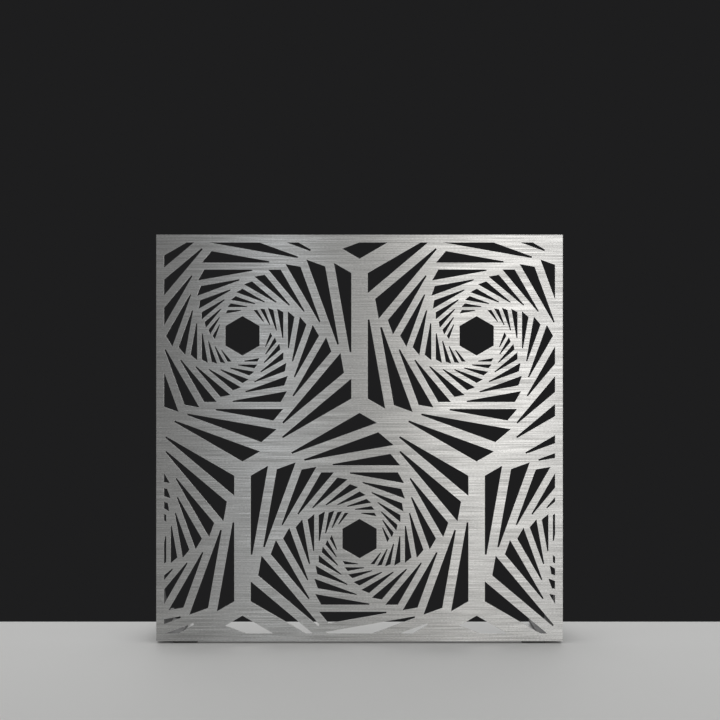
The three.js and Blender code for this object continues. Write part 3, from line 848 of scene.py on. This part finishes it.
for side, outwards in {"left": -1, "right": 1}.items():
    for count in range(1, 4):
        node = f"foot_screw_{side}_{count}"
        mesh = screw_mesh(f"socket_screw_{side}_{count}", *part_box(node), outwards, count * FASTENER_TURN)
        screw = add_piece(mesh, fastener_finish)
        shade_by_angle(screw.data)
        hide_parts(node)


# ---- Pads -------------------------------------------------------------------------------------
# Moulded rubber: a ribbed button under each end of a sole, and a long pad under each end of the
# bottom rail. They are glued on and keep the metal off the floor.

BUTTON_SIDES = 64
BUTTON_RIBS = 3
RIB_DEPTH = 0.0005
RIB_FOOT = 0.12  # height where the ribs start, as a share of the button's
GROOVE_DEPTH = 0.0005
STRIP_CORNER = 0.005
STRIP_STEPS = 10


def pad_rubber():
    """Black moulded rubber: dull, gritty, greyed by dust low down."""
    finish, tree, shader = start_finish("pad_rubber", 0.85, 0.0)
    place = object_place(tree)
    grit = use_effect(tree, fine_grit, Place=place, Lumps=900.0)
    marks = use_effect(tree, handling_marks, Place=place, Clouds=60.0, Smears=150.0)
    height = add_node(tree, "ShaderNodeSeparateXYZ", {0: place}).outputs["Z"]
    dust = times(tree, carry(tree, height, 0.0, 0.004, 0.6, 0.1), marks["Cloud"])
    specks = times(tree, grit["Speck"], 0.4)
    specked = blend_colours(tree, specks, (0.016, 0.016, 0.016, 1), (0.045, 0.045, 0.044, 1))
    colour = blend_colours(tree, dust, specked, (0.11, 0.105, 0.1, 1))
    feed(tree, shader, Base_Color=colour, Roughness=carry(tree, marks["Smear"], 0, 1, 0.8, 0.93))
    add_relief(tree, shader, grit["Height"], 0.0001, 0.5)
    return finish


def button_mesh(name, low, high):
    """A round pad: a grooved underside, a rounded foot, ribs round its side and a flat top."""
    radius, height = (high.x - low.x) / 2, high.z - low.z
    rise = np.linspace(RIB_FOOT, 1 - RIB_FOOT, 12 * BUTTON_RIBS)
    turn = np.pi * BUTTON_RIBS * (rise - RIB_FOOT) / (1 - 2 * RIB_FOOT)
    ribs = radius - RIB_DEPTH * (1 - np.abs(np.sin(turn)))
    grooves = []
    for groove in (0.3 * radius, 0.64 * radius):
        grooves += [
            (groove, 0),
            (groove + 0.04 * radius, GROOVE_DEPTH),
            (groove + 0.12 * radius, GROOVE_DEPTH),
            (groove + 0.16 * radius, 0),
        ]
    profile = np.array([
        (0, 0),
        *grooves,
        (0.95 * radius, 0), (0.985 * radius, 0.03 * height),
        *zip(ribs, rise * height),
        (0.985 * radius, 0.97 * height), (0.95 * radius, height), (0, height),
    ])
    radii, along = (np.repeat(profile[:, [column]], BUTTON_SIDES, axis=1) for column in (0, 1))
    centre = ((low.x + high.x) / 2, (low.y + high.y) / 2, low.z)
    points = turned_points(centre, (0, 0, 1), (1, 0, 0), radii, along)
    return closed_mesh(name, points, grid_faces(*radii.shape, round_columns=True).tolist())


def strip_mesh(name, low, high):
    """A long pad: a rounded rectangle drawn in at the top and bottom, with a groove along its underside.

    Each row is the rectangle's outline, smaller all round by the profile's inset."""
    angle = (np.arange(4)[:, None] + np.linspace(0, 1, STRIP_STEPS)[None, :]) * np.pi / 2
    corner_x = np.array([1, -1, -1, 1])[:, None] * ((high.x - low.x) / 2 - STRIP_CORNER)
    corner_y = np.array([1, 1, -1, -1])[:, None] * ((high.y - low.y) / 2 - STRIP_CORNER)
    height = high.z - low.z
    inset = np.array([0.0042, 0.0040, 0.0030, 0.0028, 0.0005, 0.0001, 0, 0, 0.0001, 0.0005])
    level = np.array([0.0006, 0.0006, 0.0006, 0, 0, 0.0002, 0.0006, height - 0.0006, height - 0.0002, height])
    reach = STRIP_CORNER - inset[:, None, None]
    across = corner_x + reach * np.cos(angle)
    deep = corner_y + reach * np.sin(angle)
    rows = np.stack([across, deep, np.broadcast_to(level[:, None, None], across.shape)], axis=-1)
    rows = rows.reshape(len(inset), -1, 3)
    middles = rows[[0, -1]] * (0, 0, 1)
    points = np.concatenate([middles[:1], rows, middles[1:]])
    points += ((low.x + high.x) / 2, (low.y + high.y) / 2, low.z)
    return closed_mesh(name, points, grid_faces(*points.shape[:2], round_columns=True).tolist())


rubber = pad_rubber()
for side in ("left", "right"):
    for node, shape, name in [
        (f"sole_pad_{side}_front", button_mesh, f"ribbed_button_{side}_front"),
        (f"sole_pad_{side}_rear", button_mesh, f"ribbed_button_{side}_rear"),
        (f"front_pad_{side}", strip_mesh, f"strip_pad_{side}"),
    ]:
        pad = add_piece(shape(name, *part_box(node)), rubber)
        shade_by_angle(pad.data)
        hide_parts(node)


# ---- Studio -----------------------------------------------------------------------------------
# A pale floor that ends a little behind the feet, a dark grey surround, and large soft lamps in
# front, behind and above. The camera is level and four metres in front, as for the photograph.

PHOTO_SIDE = 720  # pixels
PHOTO_SCALE = 0.0024597  # metres to a pixel, on the front of the sheet
SHEET_ACROSS = 359.54  # pixels from the photograph's left to the sheet's middle
SHEET_DOWN = 438.0  # pixels from the photograph's top to the sheet's middle
CAMERA_DISTANCE = 4.0
SENSOR = 36.0
FLOOR_BEYOND = 0.18  # line where the floor ends
FLOOR_BEFORE = -3.2
FLOOR_HALF_WIDTH = 4.0
LAMP_WALL = 4.75  # distance of the lamps in front and behind from the sheet
FRONT_LAMP_HEIGHT = 2.9
FRONT_LAMP_LEVEL = 1.1  # middle of the lamps in front, above the floor

sheet_low, sheet_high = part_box("face_sheet")
camera_data = bpy.data.cameras.new("camera")
camera_data.sensor_width = SENSOR
camera_data.lens = SENSOR * CAMERA_DISTANCE / (PHOTO_SIDE * PHOTO_SCALE)
camera = bpy.data.objects.new("camera", camera_data)
camera.location = (
    (PHOTO_SIDE / 2 - SHEET_ACROSS) * PHOTO_SCALE,
    sheet_low.y - CAMERA_DISTANCE,
    (sheet_low.z + sheet_high.z) / 2 + (SHEET_DOWN - PHOTO_SIDE / 2) * PHOTO_SCALE,
)
camera.rotation_euler = (np.pi / 2, 0, 0)
bpy.context.scene.collection.objects.link(camera)
bpy.context.scene.camera = camera

floor_mesh = bpy.data.meshes.new("floor")
floor_mesh.from_pydata(
    [(x, y, 0) for x, y in (
        (-FLOOR_HALF_WIDTH, FLOOR_BEFORE),
        (FLOOR_HALF_WIDTH, FLOOR_BEFORE),
        (FLOOR_HALF_WIDTH, FLOOR_BEYOND),
        (-FLOOR_HALF_WIDTH, FLOOR_BEYOND),
    )], [], [(0, 1, 2, 3)])
floor = bpy.data.objects.new("floor", floor_mesh)
bpy.context.scene.collection.objects.link(floor)
floor_finish, tree, shader = start_finish("pale_floor", 0.7, 0.0)
shader.inputs["Base Color"].default_value = (0.74, 0.74, 0.73, 1)
floor_mesh.materials.append(floor_finish)


def softbox(name, middle, towards, width, height, brightness, colour):
    """A rectangular lamp at a point, facing another, given by the brightness of its surface."""
    data = bpy.data.lights.new(name, "AREA")
    data.shape = "RECTANGLE"
    data.size, data.size_y = width, height
    data.energy = 4 * brightness * width * height
    data.color = colour
    lamp = bpy.data.objects.new(name, data)
    lamp.location = middle
    lamp.rotation_euler = (Vector(towards) - Vector(middle)).to_track_quat("-Z", "Y").to_euler()
    lamp.visible_camera = False
    bpy.context.scene.collection.objects.link(lamp)


# The lamps in front stand side by side, so that the brushed face shows one after the other.
for name, left, right, brightness, colour in [
    ("cool_lamp", -0.64, -0.3, 0.97, (0.91, 0.955, 1.0)),
    ("middle_lamp", -0.3, 0.34, 0.17, (1.0, 0.97, 0.9)),
    ("key_lamp", 0.34, 1.1, 1.6, (1.0, 0.985, 0.96)),
    ("right_lamp", 1.1, 4.0, 1.03, (1.0, 1.0, 0.995)),
]:
    across = (left + right) / 2
    middle = (across, sheet_low.y - LAMP_WALL, FRONT_LAMP_LEVEL)
    towards = (across, 0, FRONT_LAMP_LEVEL)
    softbox(name, middle, towards, right - left, FRONT_LAMP_HEIGHT, brightness, colour)
softbox("rear_lamp", (0, sheet_low.y + LAMP_WALL, 1.7), (0, 0, 1.2), 7.0, 3.4, 1.1, (1, 1, 1))
softbox("top_lamp", (0, -0.6, 3.4), (0, -0.1, 0), 3.0, 2.4, 0.8, (1, 1, 1))

world = bpy.data.worlds.new("studio_air")
bpy.context.scene.world = world
world.use_nodes = True
tree = world.node_tree
rays = add_node(tree, "ShaderNodeLightPath").outputs
seen = maths(tree, "MAXIMUM", rays["Is Camera Ray"], rays["Is Transmission Ray"])
mirrored = blend_colours(tree, rays["Is Glossy Ray"], (0.35, 0.35, 0.35, 1), (0.16, 0.16, 0.16, 1))
surround = blend_colours(tree, seen, mirrored, (0.013, 0.013, 0.0135, 1))
tree.links.new(surround, tree.nodes["Background"].inputs["Color"])
bpy.context.scene.view_settings.view_transform = "Standard"
